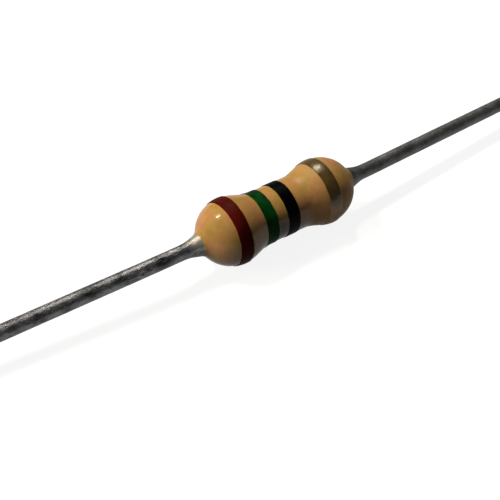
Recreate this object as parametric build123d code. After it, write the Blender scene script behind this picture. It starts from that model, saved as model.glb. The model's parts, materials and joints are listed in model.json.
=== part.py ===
from build123d import *
import os
from math import asin, atan, cos, degrees, tan

# Axial carbon film resistor with a lacquered, waisted body and two straight wire leads.
# Millimetres. The origin is the middle of the body on its long axis. +X runs along that axis
# towards the tolerance band, and +Z is up. The resistor lies on its two bulbs and on the tips
# of its leads, which are bent a little down and to one side, so that it can't roll.

# Lacquered body
BODY_LENGTH = 6.3  # rim to rim of the lacquer
BODY_DIAMETER = 2.5  # over the lacquer at the crest of each bulb
CREST_FROM_RIM = 1.22  # from the rim to the crest of the bulb
WAIST_LENGTH = 1.54  # straight stretch between the shoulders
LACQUER_OVER_CAP = 0.27  # thickness at the crest
LACQUER_OVER_FILM = 0.14  # thickness at the waist
LACQUER_OVER_FACE = 0.55  # from the cap's face to the rim
LACQUER_LIP = 0.04  # thickness left at the rim

# Ceramic rod and the resistive film on it
ROD_CHAMFER = 0.08
FILM_THICKNESS = 0.02
GROOVE_WIDTH = 0.3
GROOVE_PITCH = 0.9
GROOVE_MARGIN = 0.3  # whole film left between the groove and each cap
GROOVE_CUTTER = 0.1  # radial height of the cutter, centred on the film

# Pressed steel end caps
CAP_WALL = 0.12
CAP_FLOOR = 0.15
CAP_DEPTH = 1.1  # outside, from mouth to face
CAP_EDGE_RADIUS = 0.2

# Tinned wire leads
LEAD_DIAMETER = 0.55
LEAD_LENGTH = 28.0  # from the lacquer's rim to the cut tip, along X
WELD_DIAMETER = 1.24  # foot of the lead on the cap's face
CONE_LENGTH = 1.2  # over which the foot narrows to the wire
NECK_RADIUS = 1.2  # rounding between the cone and the wire
NECK_LENGTH = 0.03  # straight wire after that rounding
BEND_RADIUS = 3.5
BEND_RUN = 0.23  # from the end of the neck to the corner of the first bend
KINK_LENGTH = 1.3  # from the left lead's first bend to its second
KINK_OFFSET = 0.055  # sideways travel over that length
LEFT_TIP_OFFSET = 1.3  # sideways place of the left tip
RIGHT_TIP_OFFSET = 1.87  # sideways place of the right tip

# Painted colour bands
PAINT_THICKNESS = 0.02
BAND_WIDTH = 0.49
BROWN_FROM_RIM = 1.08
GREEN_FROM_MIDDLE = -0.81
BLACK_FROM_MIDDLE = 0.11
GOLD_FROM_RIM = 1.33

# Places along the axis and radii that follow from the sizes above
rim_x = BODY_LENGTH / 2
crest_x = rim_x - CREST_FROM_RIM
cap_face_x = rim_x - LACQUER_OVER_FACE
cap_mouth_x = cap_face_x - CAP_DEPTH
rod_end_x = cap_face_x - CAP_FLOOR
cone_end_x = cap_face_x + CONE_LENGTH
tip_x = rim_x + LEAD_LENGTH
bulb_radius = BODY_DIAMETER / 2
cap_radius = bulb_radius - LACQUER_OVER_CAP
film_radius = cap_radius - CAP_WALL
rod_radius = film_radius - FILM_THICKNESS
waist_radius = film_radius + LACQUER_OVER_FILM
weld_radius = WELD_DIAMETER / 2
lead_radius = LEAD_DIAMETER / 2
cone_angle = atan((weld_radius - lead_radius) / CONE_LENGTH)
neck_end_x = cone_end_x + NECK_RADIUS * tan(cone_angle / 2) + NECK_LENGTH
bend_x = neck_end_x + BEND_RUN
tip_drop = bulb_radius + PAINT_THICKNESS - lead_radius


def block(start_x, end_x, radius):
    """Half section of a plain cylinder on the X axis."""
    return make_face(Polyline((start_x, 0), (end_x, 0), (end_x, radius), (start_x, radius), close=True))


def round_corner(section, x, y, radius):
    """Round the one corner of a half section that lies at x, y."""
    corner = section.vertices().sort_by_distance((x, y, 0))[0]
    return fillet(corner, radius)


def both_ends(section):
    """Add the mirror image of a right-hand half section."""
    return section + mirror(section, about=Plane.YZ)


def cap_outside():
    """Half section of a cap filled solid."""
    envelope = block(cap_mouth_x, cap_face_x, cap_radius)
    return round_corner(envelope, cap_face_x, cap_radius, CAP_EDGE_RADIUS)


def cap_inside():
    """Half section of the room in a cap, which takes the end of the coated rod."""
    room = block(cap_mouth_x, rod_end_x, film_radius)
    return round_corner(room, rod_end_x, film_radius, ROD_CHAMFER)


def lead_root():
    """Half section of a lead's welded foot, its cone and its neck."""
    outline = Polyline(
        (cap_face_x, 0),
        (cap_face_x, weld_radius),
        (cone_end_x, lead_radius),
        (neck_end_x, lead_radius),
        (neck_end_x, 0),
        close=True,
    )
    return round_corner(make_face(outline), cone_end_x, lead_radius, NECK_RADIUS)


def cone_radius(x):
    """Radius of the lead's cone, or of the wire beyond it."""
    share = min(1, (x - cap_face_x) / CONE_LENGTH)
    return weld_radius + share * (lead_radius - weld_radius)


def body_outside(proud=0.0):
    """Half section of the right-hand half of the body, with all radii larger by proud."""
    waist = waist_radius + proud
    crest = bulb_radius + proud
    rim = cone_radius(rim_x) + LACQUER_LIP + proud
    waist_end_x = WAIST_LENGTH / 2
    shoulder_x = (waist_end_x + crest_x) / 2
    rim_angle = asin(rim / crest)
    dome_arc = 90 - degrees(rim_angle)
    dome_length = CREST_FROM_RIM / cos(rim_angle)
    outline = [
        Line((0, 0), (0, waist)),
        Line((0, waist), (waist_end_x, waist)),
        Bezier((waist_end_x, waist), (shoulder_x, waist), (shoulder_x, crest), (crest_x, crest)),
        EllipticalCenterArc((crest_x, 0), dome_length, crest, degrees(rim_angle), arc_size=dome_arc),
        Line((rim_x, rim), (rim_x, 0)),
        Line((rim_x, 0), (0, 0)),
    ]
    return make_face(outline)


def ceramic_core():
    """Plain ceramic rod with chamfered ends."""
    rod = Rot(0, 90, 0) * Cylinder(rod_radius, 2 * rod_end_x)
    return chamfer(rod.edges().filter_by(GeomType.CIRCLE), ROD_CHAMFER)


def carbon_film():
    """Film on the rod, trimmed to its value by a helical groove between the caps."""
    film_end_x = rod_end_x - ROD_CHAMFER
    outside = block(-film_end_x, film_end_x, film_radius)
    inside = block(-film_end_x, film_end_x, rod_radius)
    groove_length = 2 * (cap_mouth_x - GROOVE_MARGIN)
    middle_radius = (rod_radius + film_radius) / 2
    groove_start = (-groove_length / 2, 0, 0)
    path = Helix(GROOVE_PITCH, groove_length, middle_radius, center=groove_start, direction=(1, 0, 0))
    across = Plane(path @ 0, x_dir=(1, 0, 0), z_dir=path % 0)
    groove = sweep(across * Rectangle(GROOVE_WIDTH, GROOVE_CUTTER), path=path, is_frenet=True)
    return revolve(outside - inside, Axis.X) - groove


def end_cap():
    """Right-hand cap: a drawn cup pressed over the end of the rod."""
    return revolve(cap_outside() - cap_inside(), Axis.X)


def lead_wire(side, corners):
    """Lead on the side +1 or -1: its root, then wire through the corner points, rounded."""
    root = revolve(lead_root(), Axis.X)
    if side < 0:
        root = mirror(root, about=Plane.YZ)
    points = [Vector(side * x, y, z) for x, y, z in corners]
    route = FilletPolyline(*points, radius=BEND_RADIUS)
    wire = sweep(Plane(route @ 0, z_dir=route % 0) * Circle(lead_radius), path=route)
    tip, last_corner = points[-1], points[-2]
    print("lead", side, "tip", tip, "axis", (tip - last_corner).normalized())
    print("  straight end run", round(route.edges().sort_by_distance(tip)[0].length, 3))
    print("  route length", round(route.length, 3))
    return root + wire


def lacquer_coat():
    """Lacquer over film, caps and lead cones, thick over the caps and thin between them."""
    held = block(-rod_end_x, rod_end_x, film_radius) + both_ends(cap_outside() + lead_root())
    return revolve(both_ends(body_outside()) - held, Axis.X)


def colour_band(middle_x):
    """Ring of paint on the lacquer, following the lacquer's own outline."""
    width = block(middle_x - BAND_WIDTH / 2, middle_x + BAND_WIDTH / 2, BODY_DIAMETER)
    painted = both_ends(body_outside(PAINT_THICKNESS)) & width
    return revolve(painted - both_ends(body_outside()), Axis.X)


start = (neck_end_x, 0, 0)
first_bend = (bend_x, 0, 0)
kink = (bend_x + KINK_LENGTH, KINK_OFFSET, -tip_drop * KINK_LENGTH / (tip_x - bend_x))
left_tip = (tip_x, LEFT_TIP_OFFSET, -tip_drop)
right_tip = (tip_x, RIGHT_TIP_OFFSET, -tip_drop)

cap_right = end_cap()
nodes = {
    "ceramic_core": ceramic_core(),
    "carbon_film": carbon_film(),
    "end_cap_left": mirror(cap_right, about=Plane.YZ),
    "end_cap_right": cap_right,
    "lead_wire_left": lead_wire(-1, [start, first_bend, kink, left_tip]),
    "lead_wire_right": lead_wire(1, [start, first_bend, right_tip]),
    "lacquer_coat": lacquer_coat(),
    "band_brown": colour_band(BROWN_FROM_RIM - rim_x),
    "band_green": colour_band(GREEN_FROM_MIDDLE),
    "band_black": colour_band(BLACK_FROM_MIDDLE),
    "band_gold": colour_band(rim_x - GOLD_FROM_RIM),
}

os.makedirs("parts", exist_ok=True)
for name, shape in nodes.items():
    export_step(shape, f"parts/{name}.step")
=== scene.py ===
import json
from math import asin, cos, pi, radians, sin

import bpy
from mathutils import Matrix, Vector


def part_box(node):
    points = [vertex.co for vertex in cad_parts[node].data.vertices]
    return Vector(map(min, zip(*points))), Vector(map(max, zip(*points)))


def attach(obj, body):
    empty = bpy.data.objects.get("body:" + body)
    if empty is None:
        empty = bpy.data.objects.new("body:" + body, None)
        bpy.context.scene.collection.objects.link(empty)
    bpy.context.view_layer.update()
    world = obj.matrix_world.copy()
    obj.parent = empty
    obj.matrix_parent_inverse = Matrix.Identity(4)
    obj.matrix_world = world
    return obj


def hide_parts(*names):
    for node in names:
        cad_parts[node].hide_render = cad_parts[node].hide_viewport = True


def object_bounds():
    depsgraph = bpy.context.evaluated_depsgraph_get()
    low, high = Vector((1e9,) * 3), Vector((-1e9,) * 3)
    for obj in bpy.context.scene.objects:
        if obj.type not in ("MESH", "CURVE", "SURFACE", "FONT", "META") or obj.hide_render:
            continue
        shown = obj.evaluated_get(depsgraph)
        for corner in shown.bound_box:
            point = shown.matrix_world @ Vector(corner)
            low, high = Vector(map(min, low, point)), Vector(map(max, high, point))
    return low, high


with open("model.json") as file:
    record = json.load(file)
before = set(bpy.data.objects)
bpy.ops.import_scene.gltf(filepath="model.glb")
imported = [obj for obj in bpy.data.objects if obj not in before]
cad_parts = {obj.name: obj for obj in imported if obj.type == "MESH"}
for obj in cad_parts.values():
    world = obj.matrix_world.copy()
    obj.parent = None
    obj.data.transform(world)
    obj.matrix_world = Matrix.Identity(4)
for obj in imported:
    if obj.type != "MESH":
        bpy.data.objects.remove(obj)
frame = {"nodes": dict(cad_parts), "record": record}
cad_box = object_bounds()
MM = 0.001


# --- Ceramic rod -----------------------------------------------------------------------------
# The core is an extruded and fired steatite rod, left unglazed so that the film grips it.
# It is pressed into both end caps, and nothing of it shows on a whole resistor.

def linear(hex_colour):
    """Linear RGBA of an sRGB hex colour such as "c8a070"."""
    values = [int(hex_colour[i:i + 2], 16) / 255 for i in (0, 2, 4)]
    return [v / 12.92 if v <= 0.04045 else ((v + 0.055) / 1.055) ** 2.4 for v in values] + [1.0]


def add_node(tree, kind, inputs=None, **settings):
    """Add a node, set its properties, and give each input a value or a link."""
    node = tree.nodes.new(kind)
    for name, value in settings.items():
        setattr(node, name, value)
    for name, value in (inputs or {}).items():
        if isinstance(value, bpy.types.NodeSocket):
            tree.links.new(value, node.inputs[name])
        else:
            node.inputs[name].default_value = value
    return node


def new_material(name):
    """An empty material and its node tree, with the Object coordinates that its patterns use."""
    material = bpy.data.materials.new(name)
    material.use_nodes = True
    material.node_tree.nodes.clear()
    coordinates = add_node(material.node_tree, "ShaderNodeTexCoord").outputs["Object"]
    return material, material.node_tree, coordinates


def dress(node_name, material):
    """Give a CAD node its material."""
    mesh = frame["nodes"][node_name].data
    mesh.materials.clear()
    mesh.materials.append(material)


def colour_ramp(tree, factor, stops):
    """A ramp whose stops are (position, hex colour)."""
    ramp = add_node(tree, "ShaderNodeValToRGB", {"Fac": factor})
    elements = ramp.color_ramp.elements
    while len(elements) < len(stops):
        elements.new(0.5)
    for element, (position, colour) in zip(elements, stops):
        element.position = position
        element.color = linear(colour)
    return ramp.outputs["Color"]


def fired_ceramic():
    # Off-white, matt and faintly speckled, with the drawn grain of an extruded rod.
    material, tree, place = new_material("fired_steatite")
    grain_size = 0.05 * MM
    grain = add_node(tree, "ShaderNodeTexNoise", {"Vector": place, "Scale": 1 / grain_size, "Detail": 4.0})
    colour = colour_ramp(tree, grain.outputs["Fac"], [(0.3, "cfc9ba"), (0.7, "ece8dd")])
    bump = add_node(tree, "ShaderNodeBump", {"Height": grain.outputs["Fac"], "Distance": 0.004 * MM})
    shader = add_node(tree, "ShaderNodeBsdfPrincipled", {
        "Base Color": colour, "Roughness": 0.75, "IOR": 1.55, "Normal": bump.outputs["Normal"]})
    add_node(tree, "ShaderNodeOutputMaterial", {"Surface": shader.outputs["BSDF"]})
    return material


dress("ceramic_core", fired_ceramic())


# --- Carbon film -----------------------------------------------------------------------------
# Hard grey carbon, cracked onto the hot rod from a gas. A helical groove cut through it
# makes the current's path longer and so sets the value.

def pyrolytic_carbon():
    # Dark grey with a metallic sheen, and fine grinding marks round the groove.
    material, tree, place = new_material("pyrolytic_carbon_film")
    mark_width = 0.03 * MM
    marks = add_node(tree, "ShaderNodeTexNoise", {"Vector": place, "Scale": 1 / mark_width, "Detail": 2.0})
    colour = colour_ramp(tree, marks.outputs["Fac"], [(0.35, "26272a"), (0.7, "3b3c40")])
    shader = add_node(tree, "ShaderNodeBsdfPrincipled", {
        "Base Color": colour, "Roughness": 0.35, "Metallic": 0.6})
    add_node(tree, "ShaderNodeOutputMaterial", {"Surface": shader.outputs["BSDF"]})
    return material


dress("carbon_film", pyrolytic_carbon())


# --- End caps --------------------------------------------------------------------------------
# Two cups drawn from thin steel strip and plated with tin. Each is forced over an end of the
# coated rod, which makes the contact with the film.

def plated_steel():
    # Bright plate, with soft draw lines along the cup's wall.
    material, tree, place = new_material("tin_plated_steel")
    stretched = add_node(tree, "ShaderNodeMapping", {"Vector": place, "Scale": (0.1, 1.0, 1.0)})
    line_width = 0.04 * MM
    lines = add_node(tree, "ShaderNodeTexNoise", {
        "Vector": stretched.outputs["Vector"], "Scale": 1 / line_width})
    colour = colour_ramp(tree, lines.outputs["Fac"], [(0.3, "a9aaa8"), (0.7, "c9cac8")])
    shader = add_node(tree, "ShaderNodeBsdfPrincipled", {
        "Base Color": colour, "Roughness": 0.3, "Metallic": 1.0})
    add_node(tree, "ShaderNodeOutputMaterial", {"Surface": shader.outputs["BSDF"]})
    return material


cap_plate = plated_steel()
dress("end_cap_left", cap_plate)
dress("end_cap_right", cap_plate)


# --- Lead wires ------------------------------------------------------------------------------
# Drawn copper wire, dipped in tin. Each is butt-welded to its cap, and the weld leaves a
# cone that narrows to the wire. Handling has bent both leads a little, dented and nicked them.

ROOT_CONE = 1.2 * MM  # length of the weld's cone
NECK_SOFTNESS = 0.09 * MM
NECK_RUN = 0.15 * MM  # straight wire between the cone and the first bend
BEND_IN = 0.1 * MM  # the last bend starts this far before the straight run
BEND_OUT = 0.2 * MM  # and ends this far into it
STEADY_FROM = 1.5 * MM  # one more point, which keeps the rest of the run straight
WIRE_RINGS = 900
WIRE_SIDES = 40
DENT_DEPTH = 0.006 * MM
DENT_SIZE = 0.35 * MM
NICK_SIZE = 0.14 * MM
NICK_FLOOR = 0.02 * MM
NICK_DEPTH = 0.05 * MM
NICKS = {  # middle of each nick, in millimetres
    "lead_wire_left": [
        (-5.62, -0.22, 0.10), (-5.36, -0.20, 0.17), (-4.78, -0.17, 0.21), (-6.35, -0.10, 0.25)],
    "lead_wire_right": [(9.3, -0.2, 0.0)],
}


def add_input(tree, name, kind):
    """A named input of a geometry node tree."""
    tree.interface.new_socket(name, in_out="INPUT", socket_type=kind)


def wire_tree(nicks):
    """Sweeps a wire along its route: a welded cone at the start, shallow dents and a few nicks."""
    tree = bpy.data.node_groups.new("drawn_wire", "GeometryNodeTree")
    add_input(tree, "Route", "NodeSocketGeometry")
    add_input(tree, "Wire Radius", "NodeSocketFloat")
    add_input(tree, "Root Radius", "NodeSocketFloat")
    add_input(tree, "Dent Seed", "NodeSocketFloat")
    add_input(tree, "Finish", "NodeSocketMaterial")
    tree.interface.new_socket("Wire", in_out="OUTPUT", socket_type="NodeSocketGeometry")
    given = add_node(tree, "NodeGroupInput").outputs

    route = add_node(tree, "GeometryNodeResampleCurve", {"Curve": given["Route"], "Count": WIRE_RINGS})
    along = add_node(tree, "GeometryNodeSplineParameter").outputs["Length"]
    narrowing = add_node(tree, "ShaderNodeMath", {0: given["Root Radius"], 1: given["Wire Radius"]},
                         operation="SUBTRACT")
    slope = add_node(tree, "ShaderNodeMath", {0: narrowing.outputs[0], 1: -1 / ROOT_CONE},
                     operation="MULTIPLY")
    cone = add_node(tree, "ShaderNodeMath", {0: along, 1: slope.outputs[0], 2: given["Root Radius"]},
                    operation="MULTIPLY_ADD")
    radius = add_node(tree, "ShaderNodeMath", {0: cone.outputs[0], 1: given["Wire Radius"], 2: NECK_SOFTNESS},
                      operation="SMOOTH_MAX")
    section = add_node(tree, "GeometryNodeCurvePrimitiveCircle", {"Resolution": WIRE_SIDES, "Radius": 1.0})
    skin = add_node(tree, "GeometryNodeCurveToMesh", {
        "Curve": route.outputs[0], "Profile Curve": section.outputs["Curve"],
        "Scale": radius.outputs[0], "Fill Caps": True})

    place = add_node(tree, "GeometryNodeInputPosition").outputs[0]
    dents = add_node(tree, "ShaderNodeTexNoise", {
        "Vector": place, "W": given["Dent Seed"], "Scale": 1 / DENT_SIZE, "Detail": 3.0},
        noise_dimensions="4D")
    depth = add_node(tree, "ShaderNodeMapRange", {
        "Value": dents.outputs[0], "From Min": 0.25, "From Max": 0.6, "To Min": -DENT_DEPTH, "To Max": 0.0})
    total = depth.outputs["Result"]
    for nick in nicks:
        away = add_node(tree, "ShaderNodeVectorMath", {0: place, 1: [v * MM for v in nick]},
                        operation="DISTANCE")
        pit = add_node(tree, "ShaderNodeMapRange", {
            "Value": away.outputs["Value"], "From Min": NICK_FLOOR, "From Max": NICK_SIZE,
            "To Min": -NICK_DEPTH, "To Max": 0.0}, interpolation_type="SMOOTHSTEP")
        total = add_node(tree, "ShaderNodeMath", {0: total, 1: pit.outputs["Result"]}).outputs[0]
    outward = add_node(tree, "GeometryNodeInputNormal").outputs["Normal"]
    push = add_node(tree, "ShaderNodeVectorMath", {0: outward, "Scale": total}, operation="SCALE")
    worn = add_node(tree, "GeometryNodeSetPosition", {
        "Geometry": skin.outputs[0], "Offset": push.outputs["Vector"]})
    smooth = add_node(tree, "GeometryNodeSetShadeSmooth", {"Geometry": worn.outputs[0]})
    real = add_node(tree, "GeometryNodeRealizeInstances", {"Geometry": smooth.outputs[0]})
    done = add_node(tree, "GeometryNodeSetMaterial", {
        "Geometry": real.outputs[0], "Material": given["Finish"]})
    add_node(tree, "NodeGroupOutput", {"Wire": done.outputs[0]})
    return tree


def made_with(tree, base, name, inputs):
    """Run a geometry node tree on an object and return its result as a plain mesh piece."""
    modifier = base.modifiers.new("shape", "NODES")
    modifier.node_group = tree
    for item in tree.interface.items_tree:
        if item.in_out == "INPUT" and item.name in inputs:
            modifier[item.identifier] = inputs[item.name]
    base.update_tag()
    evaluated = base.evaluated_get(bpy.context.evaluated_depsgraph_get())
    mesh = bpy.data.meshes.new_from_object(evaluated)
    base.modifiers.remove(modifier)
    bpy.data.objects.remove(base)
    mesh.name = name
    piece = bpy.data.objects.new(name, mesh)
    bpy.context.scene.collection.objects.link(piece)
    return piece


def new_curve(name, kind, points, cyclic=False):
    """A curve object with one spline through the points."""
    data = bpy.data.curves.new(name, "CURVE")
    data.dimensions = "3D"
    spline = data.splines.new(kind)
    spline.points.add(len(points) - 1)
    for point, place in zip(spline.points, points):
        point.co = (*place, 1.0)
    spline.use_cyclic_u = cyclic
    curve = bpy.data.objects.new(name, data)
    bpy.context.scene.collection.objects.link(curve)
    return curve


PAINTED_HIGHLIGHT_END = 3.85 * MM  # painted highlight: the near-white tin colour on a lead's root fades out this far from the body's middle
PAINTED_HIGHLIGHT_FULL = 3.5 * MM
PAINTED_HIGHLIGHT_LOW = 0.05 * MM  # and lies on the cone's top side only, between these two heights
PAINTED_HIGHLIGHT_HIGH = 0.33 * MM


def tinned_wire(name, brightness, roughness, root_painted_highlight):
    # Dull dipped tin: a grey metal, grainy under the eye, with lengthwise drawing marks. Where the tin
    # gathered on the cone it is smoother, and the cone's top side is painted nearly white as a highlight, as
    # strong as the last argument says.
    material, tree, place = new_material(name)
    stretched = add_node(tree, "ShaderNodeMapping", {"Vector": place, "Scale": (0.35, 1.0, 1.0)})
    grain_size = 0.055 * MM
    grain = add_node(tree, "ShaderNodeTexNoise", {
        "Vector": stretched.outputs["Vector"], "Scale": 1 / grain_size, "Detail": 3.0, "Roughness": 0.6})
    patch_size = 0.6 * MM
    patches = add_node(tree, "ShaderNodeTexNoise", {"Vector": place, "Scale": 1 / patch_size, "Detail": 2.0})
    patch_share = add_node(tree, "ShaderNodeMath", {0: patches.outputs["Fac"], 1: 0.6}, operation="MULTIPLY")
    blend = add_node(tree, "ShaderNodeMath", {0: grain.outputs["Fac"], 1: 0.4, 2: patch_share.outputs[0]},
                     operation="MULTIPLY_ADD")
    dark, light = brightness
    worn = colour_ramp(tree, blend.outputs[0], [(0.38, dark), (0.62, light)])
    parts = add_node(tree, "ShaderNodeSeparateXYZ", {"Vector": place}).outputs
    outward = add_node(tree, "ShaderNodeMath", {0: parts["X"]}, operation="ABSOLUTE").outputs[0]
    pooled_root_and_highlight = add_node(tree, "ShaderNodeMapRange", {
        "Value": outward, "From Min": PAINTED_HIGHLIGHT_END, "From Max": PAINTED_HIGHLIGHT_FULL,
        "To Max": root_painted_highlight}).outputs["Result"]
    # Painted highlight: only the cone's top side, where the soft boxes light it, gets the near-white colour.
    painted_highlight_side = add_node(tree, "ShaderNodeMapRange", {
        "Value": parts["Z"], "From Min": PAINTED_HIGHLIGHT_LOW, "From Max": PAINTED_HIGHLIGHT_HIGH}).outputs["Result"]
    pooled_tin_and_painted_highlight = add_node(tree, "ShaderNodeMath", {0: pooled_root_and_highlight, 1: painted_highlight_side}, operation="MULTIPLY").outputs[0]
    colour = add_node(tree, "ShaderNodeMix", {0: pooled_tin_and_painted_highlight, 6: worn, 7: linear("f2ecda")},
                      data_type="RGBA").outputs[2]
    texture = add_node(tree, "ShaderNodeMapRange", {
        "Value": pooled_tin_and_painted_highlight, "To Min": 1.0, "To Max": 0.25}).outputs["Result"]
    dullness = add_node(tree, "ShaderNodeMapRange", {
        "Value": grain.outputs["Fac"], "From Min": 0.3, "From Max": 0.7,
        "To Min": roughness[0], "To Max": roughness[1]})
    bump = add_node(tree, "ShaderNodeBump", {
        "Height": grain.outputs["Fac"], "Strength": texture, "Distance": 0.020 * MM})
    shader = add_node(tree, "ShaderNodeBsdfPrincipled", {
        "Base Color": colour, "Roughness": dullness.outputs["Result"], "Metallic": 0.8,
        "Normal": bump.outputs["Normal"]})
    add_node(tree, "ShaderNodeOutputMaterial", {"Surface": shader.outputs["BSDF"]})
    return material


def lead_wire(node_name, mount, finish, seed):
    """A lead on the frame's route: out of the cap, round its small bends and straight to its tip."""
    low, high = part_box(node_name)
    side = 1 if high.x > -low.x else -1
    root_x = min(abs(low.x), abs(high.x))
    direction = Vector(mount["axis"])
    middle = Vector(mount["pos_m"])
    half_run = direction * mount["dims"]["length_mm"] * MM / 2
    run_start, tip = middle - half_run, middle + half_run
    neck = Vector((side * (root_x + ROOT_CONE + NECK_RUN), 0, 0))
    points = [
        Vector((side * root_x, 0, 0)),
        neck * 0.9,
        neck,
        run_start - direction * BEND_IN,
        run_start + direction * BEND_OUT,
        run_start + direction * STEADY_FROM,
        tip,
    ]
    route = new_curve(node_name + "_route", "NURBS", points)
    spline = route.data.splines[0]
    spline.order_u = 3
    spline.use_endpoint_u = True
    spline.resolution_u = 24
    wire = made_with(wire_tree(NICKS[node_name]), route, node_name + "_tinned", {
        "Wire Radius": mount["dims"]["r_mm"] * MM, "Root Radius": high.z, "Dent Seed": seed,
        "Finish": finish})
    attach(wire, "root")
    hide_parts(node_name)


mounts = {mount["name"]: mount for mount in frame["record"]["mounts"]}
# The near lead's tin has a painted highlight on its cone's top side; the far lead's has none.
near_tin = tinned_wire("dipped_tin_worn", ("4c4d4f", "98999b"), (0.24, 0.50), 1.0)
far_tin = tinned_wire("dipped_tin_dull", ("5e5f60", "88898a"), (0.46, 0.60), 0.0)
lead_wire("lead_wire_left", mounts["lead_left"], near_tin, 1.0)
lead_wire("lead_wire_right", mounts["lead_right"], far_tin, 5.0)


# --- Lacquer coat ----------------------------------------------------------------------------
# Tan lacquer, rolled on in several coats and baked. It runs thick over the caps and thin
# between them, which gives the two bulbs and the waist, and it creeps up the lead's cones.

CREST_FROM_RIM = 1.22 * MM
WAIST_LENGTH = 1.54 * MM
RIM_LIFT = 0.04 * MM  # of the bulb's curve above the cone, at the rim
CAP_CORNER = 0.2 * MM
COAT_TURNS = 128
COAT_STEPS = 560
OUTLINE_STEPS = 24
LUMP_HEIGHT = 0.022 * MM
LUMP_SIZE = 1.5 * MM
WOBBLE_SIZE = 0.5 * MM
RIM_SHARE = 0.04  # of the section's length, over which the lumps fade out towards an edge
SEAM_GAP = 0.0001 * MM  # points this close are one point
CREEP = 0.10 * MM  # the last of the bulb, where the lacquer turns to run up the cone
CREEP_REACH = 0.08 * MM
FEATHER = 0.006 * MM  # thickness of the lacquer's edge on the cone

coat_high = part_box("lacquer_coat")[1]
cap_low, cap_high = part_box("end_cap_right")
film_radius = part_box("carbon_film")[1].z
paint_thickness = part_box("band_brown")[1].z - coat_high.z
bulb_radius = coat_high.z
waist_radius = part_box("band_black")[1].z - paint_thickness
rim_x = coat_high.x
crest_x = rim_x - CREST_FROM_RIM
root_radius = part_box("lead_wire_right")[1].z
wire_radius = mounts["lead_right"]["dims"]["r_mm"] * MM


def cone_radius(x):
    """Radius of a lead's cone, that far out from the body's middle."""
    return root_radius - (x - cap_high.x) / ROOT_CONE * (root_radius - wire_radius)


def coat_radius(x):
    """Radius of the lacquer, that far out from the body's middle."""
    x = abs(x)
    if x <= WAIST_LENGTH / 2:
        return waist_radius
    if x <= crest_x:
        share = (x - WAIST_LENGTH / 2) / (crest_x - WAIST_LENGTH / 2)
        return waist_radius + (bulb_radius - waist_radius) * share * share * (3 - 2 * share)
    rim_angle = asin((cone_radius(rim_x) + RIM_LIFT) / bulb_radius)
    dome_length = CREST_FROM_RIM / cos(rim_angle)
    return bulb_radius * (1 - ((x - crest_x) / dome_length) ** 2) ** 0.5


def half_outline():
    """The right half of the coat's section: from the waist out to the rim, then in along the bore."""
    shoulder = [WAIST_LENGTH / 2 + (crest_x - WAIST_LENGTH / 2) * i / OUTLINE_STEPS
                for i in range(OUTLINE_STEPS)]
    dome = [crest_x + (CREST_FROM_RIM - CREEP) * sin(pi / 2 * i / OUTLINE_STEPS)
            for i in range(OUTLINE_STEPS + 1)]
    outside = [(x, coat_radius(x)) for x in [0.0] + shoulder + dome]
    start = outside[-1]
    dome_slope = (start[1] - outside[-2][1]) / (start[0] - outside[-2][0])
    cone_slope = (wire_radius - root_radius) / ROOT_CONE
    corner_x = start[0] + (start[1] - cone_radius(start[0])) / (cone_slope - dome_slope)
    corner = (corner_x, cone_radius(corner_x))
    creep_end = corner_x + CREEP_REACH
    rim = (creep_end, cone_radius(creep_end) + FEATHER)
    creep = []
    for i in range(1, OUTLINE_STEPS // 2 + 1):
        share = i / (OUTLINE_STEPS // 2)
        weights = ((1 - share) ** 2, 2 * share * (1 - share), share ** 2)
        creep.append(tuple(sum(w * p[k] for w, p in zip(weights, (start, corner, rim))) for k in (0, 1)))
    bore = [
        (creep_end, cone_radius(creep_end)),
        (cap_high.x, root_radius),
        (cap_high.x, cap_high.z - CAP_CORNER),
        (cap_high.x - CAP_CORNER, cap_high.z),
        (cap_low.x, cap_high.z),
        (cap_low.x, film_radius),
    ]
    return outside + creep, bore


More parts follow.
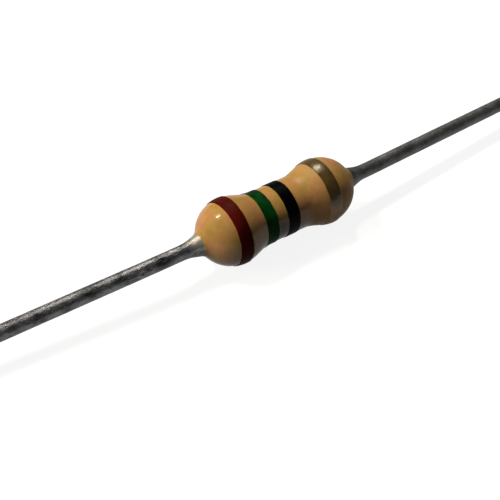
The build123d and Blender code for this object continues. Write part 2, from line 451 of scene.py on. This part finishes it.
def turned_tree():
    """Wraps a closed outline round the X axis, with soft lumps on its outer share and uneven edges."""
    tree = bpy.data.node_groups.new("turned_skin", "GeometryNodeTree")
    add_input(tree, "Outline", "NodeSocketGeometry")
    add_input(tree, "Steps", "NodeSocketInt")
    add_input(tree, "Turns", "NodeSocketInt")
    add_input(tree, "Outer Share", "NodeSocketFloat")
    add_input(tree, "Lump Height", "NodeSocketFloat")
    add_input(tree, "Edge Wobble", "NodeSocketFloat")
    add_input(tree, "Finish", "NodeSocketMaterial")
    tree.interface.new_socket("Skin", in_out="OUTPUT", socket_type="NodeSocketGeometry")
    given = add_node(tree, "NodeGroupInput").outputs

    sheet = add_node(tree, "GeometryNodeMeshGrid", {
        "Size X": 1.0, "Size Y": 1.0, "Vertices X": given["Steps"], "Vertices Y": given["Turns"]})
    share = add_node(tree, "ShaderNodeSeparateXYZ", {"Vector": sheet.outputs["UV Map"]}).outputs
    sample = add_node(tree, "GeometryNodeSampleCurve", {"Curves": given["Outline"], "Factor": share["X"]},
                      mode="FACTOR", use_all_curves=True)
    section = add_node(tree, "ShaderNodeSeparateXYZ", {"Vector": sample.outputs["Position"]}).outputs
    angle = add_node(tree, "ShaderNodeMath", {0: share["Y"], 1: 2 * pi}, operation="MULTIPLY").outputs[0]
    across = add_node(tree, "ShaderNodeMath", {0: angle}, operation="COSINE").outputs[0]
    up = add_node(tree, "ShaderNodeMath", {0: angle}, operation="SINE").outputs[0]
    radial = add_node(tree, "ShaderNodeCombineXYZ", {"X": 0.0, "Y": across, "Z": up}).outputs[0]
    reach = add_node(tree, "ShaderNodeVectorMath", {0: radial, "Scale": section["Y"]},
                     operation="SCALE").outputs[0]
    axial = add_node(tree, "ShaderNodeCombineXYZ", {"X": section["X"]}).outputs[0]
    round_place = add_node(tree, "ShaderNodeVectorMath", {0: axial, 1: reach}, operation="ADD").outputs[0]

    lumps = add_node(tree, "ShaderNodeTexNoise", {
        "Vector": round_place, "Scale": 1 / LUMP_SIZE, "Detail": 1.0}).outputs[0]
    lump = add_node(tree, "ShaderNodeMath", {0: lumps, 1: 0.5}, operation="SUBTRACT").outputs[0]
    inside_share = add_node(tree, "ShaderNodeMath", {0: given["Outer Share"], 1: share["X"]},
                            operation="SUBTRACT").outputs[0]
    near_edge = add_node(tree, "ShaderNodeMath", {0: share["X"], 1: inside_share},
                         operation="MINIMUM").outputs[0]
    mask = add_node(tree, "ShaderNodeMapRange", {
        "Value": near_edge, "From Min": 0.0, "From Max": RIM_SHARE}).outputs["Result"]
    height = add_node(tree, "ShaderNodeMath", {0: lump, 1: given["Lump Height"]},
                      operation="MULTIPLY").outputs[0]
    height = add_node(tree, "ShaderNodeMath", {0: height, 1: mask}, operation="MULTIPLY").outputs[0]
    swell = add_node(tree, "ShaderNodeVectorMath", {0: radial, "Scale": height}, operation="SCALE").outputs[0]
    wobble = add_node(tree, "ShaderNodeTexNoise", {
        "Vector": round_place, "Scale": 1 / WOBBLE_SIZE, "Detail": 3.0}).outputs[0]
    wobble = add_node(tree, "ShaderNodeMath", {0: wobble, 1: 0.5}, operation="SUBTRACT").outputs[0]
    wobble = add_node(tree, "ShaderNodeMath", {0: wobble, 1: given["Edge Wobble"]},
                      operation="MULTIPLY").outputs[0]
    slide = add_node(tree, "ShaderNodeCombineXYZ", {"X": wobble}).outputs[0]
    change = add_node(tree, "ShaderNodeVectorMath", {0: swell, 1: slide}, operation="ADD").outputs[0]
    final_place = add_node(tree, "ShaderNodeVectorMath", {0: round_place, 1: change},
                           operation="ADD").outputs[0]

    wrapped = add_node(tree, "GeometryNodeSetPosition", {
        "Geometry": sheet.outputs["Mesh"], "Position": final_place})
    closed = add_node(tree, "GeometryNodeMergeByDistance", {
        "Geometry": wrapped.outputs[0], "Distance": SEAM_GAP})
    smooth = add_node(tree, "GeometryNodeSetShadeSmooth", {"Geometry": closed.outputs[0]})
    real = add_node(tree, "GeometryNodeRealizeInstances", {"Geometry": smooth.outputs[0]})
    done = add_node(tree, "GeometryNodeSetMaterial", {
        "Geometry": real.outputs[0], "Material": given["Finish"]})
    add_node(tree, "NodeGroupOutput", {"Skin": done.outputs[0]})
    return tree


turned_skin = turned_tree()


def path_length(points):
    """Length of a run of straight steps through 2-D points."""
    return sum(((b[0] - a[0]) ** 2 + (b[1] - a[1]) ** 2) ** 0.5 for a, b in zip(points, points[1:]))


def turned_piece(name, outside, inside, steps, turns, lump, wobble, finish):
    """A closed piece turned round the X axis. outside runs from right to left, inside runs back."""
    outline = outside + inside
    outer_share = path_length(outside) / path_length(outline + outline[:1])
    curve = new_curve(name + "_outline", "POLY", [(x, r, 0.0) for x, r in outline], cyclic=True)
    return made_with(turned_skin, curve, name, {
        "Steps": steps, "Turns": turns, "Outer Share": outer_share, "Lump Height": lump,
        "Edge Wobble": wobble, "Finish": finish})


def mirrored(points):
    """The same outline on the left half of the body."""
    return [(-x, r) for x, r in points]


SMEAR_SPAN = 0.12 * MM  # over which the wiped paint fades out, under the green and the black band
SMEAR_TOP = (0.50 * MM, 0.20 * MM)  # heights at which it starts and is full
SMEAR_FRONT = (0.2 * MM, -0.4 * MM)  # and the same across the body
STREAK_WIDTH = 0.09 * MM


def smeared_place(tree, place):
    """How much wiped paint lies at a place: streaks low on the waist, between green and black."""
    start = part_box("band_green")[1].x
    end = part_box("band_black")[0].x
    parts = add_node(tree, "ShaderNodeSeparateXYZ", {"Vector": place}).outputs
    left = add_node(tree, "ShaderNodeMapRange", {
        "Value": parts["X"], "From Min": start - SMEAR_SPAN,
        "From Max": start + SMEAR_SPAN / 2}).outputs["Result"]
    right = add_node(tree, "ShaderNodeMapRange", {
        "Value": parts["X"], "From Min": end + SMEAR_SPAN,
        "From Max": end - SMEAR_SPAN / 2}).outputs["Result"]
    low = add_node(tree, "ShaderNodeMapRange", {
        "Value": parts["Z"], "From Min": SMEAR_TOP[0], "From Max": SMEAR_TOP[1]}).outputs["Result"]
    front = add_node(tree, "ShaderNodeMapRange", {
        "Value": parts["Y"], "From Min": SMEAR_FRONT[0], "From Max": SMEAR_FRONT[1]}).outputs["Result"]
    streak_place = add_node(tree, "ShaderNodeMapping", {"Vector": place, "Scale": (1.0, 0.12, 0.12)})
    streaks = add_node(tree, "ShaderNodeTexNoise", {
        "Vector": streak_place.outputs["Vector"], "Scale": 1 / STREAK_WIDTH, "Detail": 1.0}).outputs["Fac"]
    streak = add_node(tree, "ShaderNodeMapRange", {
        "Value": streaks, "From Min": 0.35, "From Max": 0.6, "To Min": 0.65, "To Max": 1.0}).outputs["Result"]
    amount = left
    for share in (right, low, front, streak):
        amount = add_node(tree, "ShaderNodeMath", {0: amount, 1: share}, operation="MULTIPLY").outputs[0]
    return amount


GLOSS_ENDS = 0.6 * MM  # right of the body's middle, where the lacquer starts to turn duller
DULL_FROM = 1.0 * MM


def baked_lacquer():
    # Warm tan with a faint orange peel, mottled where one coat shows through the next. It is
    # glossy on the brown end and satin on the gold one.
    material, tree, place = new_material("baked_tan_lacquer")
    mottle_size = 0.75 * MM
    mottle = add_node(tree, "ShaderNodeTexNoise", {"Vector": place, "Scale": 1 / mottle_size, "Detail": 3.0})
    tan_colour = colour_ramp(tree, mottle.outputs["Fac"], [
        (0.3, "bd9440"), (0.45, "cb9c59"), (0.58, "cf9458"), (0.72, "dcab70")])
    fleck_size = 0.16 * MM
    flecks = add_node(tree, "ShaderNodeTexVoronoi", {"Vector": place, "Scale": 1 / fleck_size})
    fleck = add_node(tree, "ShaderNodeMapRange", {
        "Value": flecks.outputs["Distance"], "From Min": 0.10, "From Max": 0.16,
        "To Min": 0.35, "To Max": 0.0}).outputs["Result"]
    flecked = add_node(tree, "ShaderNodeMix", {0: fleck, 6: tan_colour, 7: linear("86602f")},
                       data_type="RGBA")
    smear = smeared_place(tree, place)
    colour = add_node(tree, "ShaderNodeMix", {0: smear, 6: flecked.outputs[2], 7: linear("343d2c")},
                      data_type="RGBA")
    peel_size = 0.12 * MM
    peel = add_node(tree, "ShaderNodeTexNoise", {"Vector": place, "Scale": 1 / peel_size, "Detail": 2.0})
    bump = add_node(tree, "ShaderNodeBump", {"Height": peel.outputs["Fac"], "Distance": 0.006 * MM})
    axial = add_node(tree, "ShaderNodeSeparateXYZ", {"Vector": place}).outputs["X"]
    roughness = add_node(tree, "ShaderNodeMapRange", {
        "Value": axial, "From Min": GLOSS_ENDS, "From Max": DULL_FROM,
        "To Min": 0.16, "To Max": 0.5}).outputs["Result"]
    shader = add_node(tree, "ShaderNodeBsdfPrincipled", {
        "Base Color": colour.outputs[2], "Roughness": roughness, "IOR": 1.5,
        "Specular IOR Level": 0.32, "Normal": bump.outputs["Normal"]})
    add_node(tree, "ShaderNodeOutputMaterial", {"Surface": shader.outputs["BSDF"]})
    return material


skin_half, bore_half = half_outline()
coat = turned_piece(
    "lacquer_coat_baked",
    skin_half[::-1] + mirrored(skin_half)[1:],
    mirrored(bore_half) + bore_half[::-1],
    COAT_STEPS, COAT_TURNS, LUMP_HEIGHT, 0.0, baked_lacquer())
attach(coat, "root")
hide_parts("lacquer_coat")


# --- Colour bands ----------------------------------------------------------------------------
# Four rings of paint, rolled on by wheels after the lacquer: brown, green and black, then the
# gold of the tolerance. The paint stands a hair proud, with soft and slightly uneven edges.

BAND_TURNS = 160
BAND_STEPS = 90
EDGE_WOBBLE = 0.05 * MM
PAINT_ROOT = 0.012 * MM  # depth of a band's underside in the lacquer
EDGE_STEPS = 5
FLAT_STEPS = 12
# Over this span the gold band gives way to lacquer colour, as painted shade on the underside.
PAINTED_SHADE_SPAN = 0.25 * MM
PAINTED_SHADE_ROUGHNESS = 0.6


def band_outline(low_x, high_x):
    """Section of a ring of paint: its outside from right to left, and its root in the lacquer."""
    rounding = paint_thickness
    turns = [radians(90 * i / EDGE_STEPS) for i in range(EDGE_STEPS)]
    edge = [(high_x - rounding + rounding * cos(turn), sin(turn)) for turn in turns]
    flat_length = high_x - low_x - 2 * rounding
    flat = [(high_x - rounding - flat_length * i / FLAT_STEPS, 1.0) for i in range(FLAT_STEPS + 1)]
    far_edge = [(low_x + high_x - x, lift) for x, lift in reversed(edge)]
    outside = [(x, coat_radius(x) + lift * paint_thickness) for x, lift in edge + flat + far_edge]
    root_xs = [low_x + (high_x - low_x) * i / FLAT_STEPS for i in range(FLAT_STEPS + 1)]
    return outside, [(x, coat_radius(x) - PAINT_ROOT) for x in root_xs]


def band_paint(name, colours, roughness, metallic, sheen, grain_size, painted_shade_below=None):
    # Thin satin paint, a little uneven in colour as it left the wheel. Below the given height the
    # gold gives way to the lacquer's colour, with no metal and a duller finish: painted shade, where the band
    # fades into the dark underside.
    material, tree, place = new_material(name)
    cloud_size = 0.5 * MM
    clouds = add_node(tree, "ShaderNodeTexNoise", {"Vector": place, "Scale": 1 / cloud_size, "Detail": 3.0})
    colour = colour_ramp(tree, clouds.outputs["Fac"], [(0.35, colours[0]), (0.65, colours[1])])
    grain = add_node(tree, "ShaderNodeTexNoise", {"Vector": place, "Scale": 1 / grain_size, "Detail": 2.0})
    bump = add_node(tree, "ShaderNodeBump", {"Height": grain.outputs["Fac"], "Distance": 0.006 * MM})
    # Painted shade: under the given height the gold is swapped for lacquer colour, with no metal and a duller
    # finish.
    if painted_shade_below is not None:
        height = add_node(tree, "ShaderNodeSeparateXYZ", {"Vector": place}).outputs["Z"]
        gold_clear_of_shade = add_node(tree, "ShaderNodeMapRange", {
            "Value": height, "From Min": painted_shade_below - PAINTED_SHADE_SPAN,
            "From Max": painted_shade_below + PAINTED_SHADE_SPAN}).outputs["Result"]
        colour = add_node(tree, "ShaderNodeMix", {0: gold_clear_of_shade, 6: linear("b98a50"), 7: colour},
                          data_type="RGBA").outputs[2]
        metallic = add_node(tree, "ShaderNodeMath", {0: gold_clear_of_shade, 1: metallic},
                            operation="MULTIPLY").outputs[0]
        roughness = add_node(tree, "ShaderNodeMapRange", {
            "Value": gold_clear_of_shade, "To Min": PAINTED_SHADE_ROUGHNESS, "To Max": roughness}).outputs["Result"]
    shader = add_node(tree, "ShaderNodeBsdfPrincipled", {
        "Base Color": colour, "Roughness": roughness, "Metallic": metallic, "IOR": 1.5,
        "Specular IOR Level": sheen, "Normal": bump.outputs["Normal"]})
    add_node(tree, "ShaderNodeOutputMaterial", {"Surface": shader.outputs["BSDF"]})
    return material


plain = {"roughness": 0.46, "metallic": 0.0, "sheen": 0.03, "grain_size": 0.10 * MM}
# The gold band carries painted shade: it gives way to lacquer colour below the given height.
bronze = {"roughness": 0.30, "metallic": 0.2, "sheen": 0.8, "grain_size": 0.04 * MM, "painted_shade_below": 0.05 * MM}
paints = {
    "brown": band_paint("oxide_brown_paint", ("430c05", "5a140a"), **plain),
    "green": band_paint("deep_green_paint", ("032c0b", "065018"), **plain),
    "black": band_paint("carbon_black_paint", ("020203", "050507"), **plain),
    "gold": band_paint("bronze_flake_paint", ("4c3c12", "685220"), **bronze),
}
for colour_name, paint in paints.items():
    cad_name = "band_" + colour_name
    band_low, band_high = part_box(cad_name)
    outside, root = band_outline(band_low.x, band_high.x)
    band = turned_piece(
        cad_name + "_paint", outside, root, BAND_STEPS, BAND_TURNS, LUMP_HEIGHT, EDGE_WOBBLE, paint)
    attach(band, "root")
    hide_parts(cad_name)


# --- Table and light -------------------------------------------------------------------------
# The resistor lies on a plain white table in a dim grey room. Two small soft boxes hang behind
# and above it, and a wide one off its brown end. The table looks white, but throws little light.

HALF_TABLE = 200 * MM
LIGHT_DISTANCE = 220 * MM
WHITE = (1.0, 1.0, 1.0, 1.0)

table_mesh = bpy.data.meshes.new("table_top")
table_z = cad_box[0][2]
corners = [(HALF_TABLE * x, HALF_TABLE * y, table_z) for x, y in ((-1, -1), (1, -1), (1, 1), (-1, 1))]
table_mesh.from_pydata(corners, [], [(0, 1, 2, 3)])
table = bpy.data.objects.new("table_top", table_mesh)
bpy.context.scene.collection.objects.link(table)


def white_table():
    # A matt white board. It looks white with the shadow on it, shows about half as bright in
    # a reflection, and throws only a dim light back up.
    material, tree, _ = new_material("matt_white_board")
    path = add_node(tree, "ShaderNodeLightPath").outputs
    mirrored_share = add_node(tree, "ShaderNodeMath", {0: path["Is Glossy Ray"], 1: 0.55},
                              operation="MULTIPLY")
    seen = add_node(tree, "ShaderNodeMath", {0: path["Is Camera Ray"], 1: mirrored_share.outputs[0]},
                    operation="MAXIMUM")
    seen = add_node(tree, "ShaderNodeMath", {0: seen.outputs[0], 1: path["Is Transmission Ray"]},
                    operation="MAXIMUM")
    board = add_node(tree, "ShaderNodeBsdfDiffuse", {"Color": linear("909090")})
    glow = add_node(tree, "ShaderNodeEmission", {"Color": WHITE, "Strength": 0.88})
    white = add_node(tree, "ShaderNodeAddShader", {0: board.outputs[0], 1: glow.outputs[0]})
    dim = add_node(tree, "ShaderNodeBsdfDiffuse", {"Color": linear("3a3a3a")})
    both = add_node(tree, "ShaderNodeMixShader", {0: seen.outputs[0], 1: dim.outputs[0], 2: white.outputs[0]})
    add_node(tree, "ShaderNodeOutputMaterial", {"Surface": both.outputs[0]})
    return material


table_mesh.materials.append(white_table())


def soft_box(name, direction, size, power, colour, glints=True):
    """A square soft box that shines on the body from a direction. Without glints it isn't mirrored."""
    lamp = bpy.data.lights.new(name, "AREA")
    lamp.shape = "SQUARE"
    lamp.size = size
    lamp.energy = power
    lamp.color = linear(colour)[:3]
    light = bpy.data.objects.new(name, lamp)
    toward = Vector(direction).normalized()
    light.visible_glossy = glints
    facing = toward.to_track_quat("Z", "Y").to_matrix().to_4x4()
    light.matrix_world = Matrix.Translation(toward * LIGHT_DISTANCE) @ facing
    bpy.context.scene.collection.objects.link(light)


soft_box("near_box", (-0.40, 0.43, 0.81), 25 * MM, 0.17, "fff4e0")
soft_box("end_box", (-0.85, 0.28, 0.46), 100 * MM, 0.24, "fff8ec", glints=False)
soft_box("far_box", (0.27, 0.52, 0.81), 24 * MM, 0.16, "fff8ec")

world = bpy.data.worlds.new("dim_room")
world.use_nodes = True
world.node_tree.nodes.clear()
room = add_node(world.node_tree, "ShaderNodeBackground", {"Color": linear("c8ccd2"), "Strength": 0.10})
backdrop = add_node(world.node_tree, "ShaderNodeBackground", {"Color": WHITE, "Strength": 1.0})
looked_at = add_node(world.node_tree, "ShaderNodeLightPath").outputs["Is Camera Ray"]
surroundings = add_node(world.node_tree, "ShaderNodeMixShader", {
    0: looked_at, 1: room.outputs[0], 2: backdrop.outputs[0]})
add_node(world.node_tree, "ShaderNodeOutputWorld", {"Surface": surroundings.outputs[0]})
bpy.context.scene.world = world
bpy.context.scene.view_settings.view_transform = "Standard"


# --- Camera ----------------------------------------------------------------------------------
# Close up, looking down along the body from its brown end. The near lead runs out of the
# frame at the left and the far lead at the right.

SLOPE = radians(25.0)  # of the body's axis, in the picture
DEPTH_ANGLE = radians(25.0)  # of the axis, away from the camera
DISTANCE = 34 * MM
LENS = 67.9
SENSOR = 36.0
BODY_PLACE = (0.0524, 0.0792)  # of the body's middle, as a share of the picture's width, right and up

azimuth_cos = cos(DEPTH_ANGLE) * cos(SLOPE)
azimuth_sin = -(1 - azimuth_cos ** 2) ** 0.5
elevation_cos = sin(DEPTH_ANGLE) / -azimuth_sin
elevation_sin = (1 - elevation_cos ** 2) ** 0.5
right = Vector((azimuth_cos, azimuth_sin, 0))
back = Vector((azimuth_sin * elevation_cos, -azimuth_cos * elevation_cos, elevation_sin))
above = back.cross(right)
scale = DISTANCE * SENSOR / LENS
lens_place = back * DISTANCE - right * BODY_PLACE[0] * scale - above * BODY_PLACE[1] * scale
camera_data = bpy.data.cameras.new("close_up")
camera_data.lens = LENS
camera_data.sensor_width = SENSOR
camera_data.clip_start = 1 * MM
camera_data.clip_end = 2.0
camera = bpy.data.objects.new("close_up", camera_data)
turn = Matrix((right, above, back)).transposed().to_4x4()
camera.matrix_world = Matrix.Translation(lens_place) @ turn
bpy.context.scene.collection.objects.link(camera)
bpy.context.scene.camera = camera
